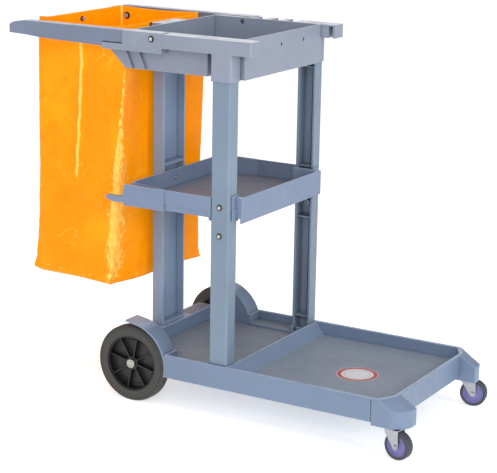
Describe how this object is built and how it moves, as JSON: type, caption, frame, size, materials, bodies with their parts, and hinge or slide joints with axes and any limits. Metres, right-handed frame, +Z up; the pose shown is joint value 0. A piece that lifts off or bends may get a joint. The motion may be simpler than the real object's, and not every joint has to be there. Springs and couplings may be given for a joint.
{
  "type": "housekeeping cart",
  "caption": "Housekeeping cart with a wheeled bucket platform, a middle shelf, a deep top tray and an open waste bag hung between its handles.",
  "frame": {"origin": "on the floor under the middle of the cart's bounding box, with the cart standing on its wheels", "axes": "+X from the handles towards the bucket platform, +Y to the left of a person who pushes the cart by its handles, +Z up"},
  "size_m": [1.1837, 0.4952, 0.969],
  "materials": {
    "tray_plastic": "moulded grey-blue, fine satin grain",
    "post_plastic": "moulded grey-blue, fine satin grain",
    "base_plastic": "moulded grey-blue, pebbled floors",
    "vinyl": "soft orange-yellow vinyl, glossy, creased",
    "eyelet_metal": "dark oxidised metal",
    "peg_plastic": "grey",
    "steel": "bright plated steel",
    "zinc_plate": "zinc-plated pressed steel",
    "black_plastic": "black moulded plastic",
    "tyre_rubber": "dark grey rubber",
    "caster_core": "violet-blue moulded plastic",
    "caster_tread": "dark slate thermoplastic rubber",
    "label_film": "printed film with a plain red ring"
  },
  "bodies": {
    "frame": {"arm_screws": "steel", "axle_cap_left": "steel", "axle_cap_right": "steel", "axle_spacer_left": "steel", "axle_spacer_right": "steel", "bag_crossbar": "steel", "bag_eyelets": "eyelet_metal", "bag_pegs": "peg_plastic", "base": "base_plastic", "caster_head_left": "black_plastic", "caster_head_right": "black_plastic", "caster_stem_left": "steel", "caster_stem_right": "steel", "front_post_left": "post_plastic", "front_post_right": "post_plastic", "handle_arm_left": "tray_plastic", "handle_arm_right": "tray_plastic", "middle_shelf": "tray_plastic", "platform_label": "label_film", "post_screws": "steel", "rear_axle": "steel", "rear_upright": "post_plastic", "top_tray": "tray_plastic", "upright_screws": "steel", "waste_bag": "vinyl"},
    "wheel_right": {"wheel_hub_right": "black_plastic", "wheel_tyre_right": "tyre_rubber"},
    "caster_right": {"caster_fork_right": "zinc_plate", "caster_axle_right": "steel", "caster_nut_right": "steel", "caster_bushing_right": "steel"},
    "caster_wheel_right": {"caster_core_right": "caster_core", "caster_tread_right": "caster_tread"},
    "wheel_left": {"wheel_hub_left": "black_plastic", "wheel_tyre_left": "tyre_rubber"},
    "caster_left": {"caster_fork_left": "zinc_plate", "caster_axle_left": "steel", "caster_nut_left": "steel", "caster_bushing_left": "steel"},
    "caster_wheel_left": {"caster_core_left": "caster_core", "caster_tread_left": "caster_tread"}
  },
  "joints": [
    {"name": "wheel_right_spin", "type": "hinge", "parent": "frame", "child": "wheel_right", "pos_m": [-0.2115, -0.222, 0.1015], "axis": [0, 1, 0], "continuous": true},
    {"name": "wheel_left_spin", "type": "hinge", "parent": "frame", "child": "wheel_left", "pos_m": [-0.2115, 0.222, 0.1015], "axis": [0, 1, 0], "continuous": true},
    {"name": "caster_right_swivel", "type": "hinge", "parent": "frame", "child": "caster_right", "pos_m": [0.5398, -0.223, 0.07], "axis": [0, 0, 1], "continuous": true},
    {"name": "caster_right_roll", "type": "hinge", "parent": "caster_right", "child": "caster_wheel_right", "pos_m": [0.5556, -0.2255, 0.035], "axis": [0.1564, 0.9877, 0], "continuous": true},
    {"name": "caster_left_swivel", "type": "hinge", "parent": "frame", "child": "caster_left", "pos_m": [0.5398, 0.223, 0.07], "axis": [0, 0, 1], "continuous": true},
    {"name": "caster_left_roll", "type": "hinge", "parent": "caster_left", "child": "caster_wheel_left", "pos_m": [0.55545, 0.22633, 0.035], "axis": [-0.2079, 0.9781, 0], "continuous": true}
  ]
}
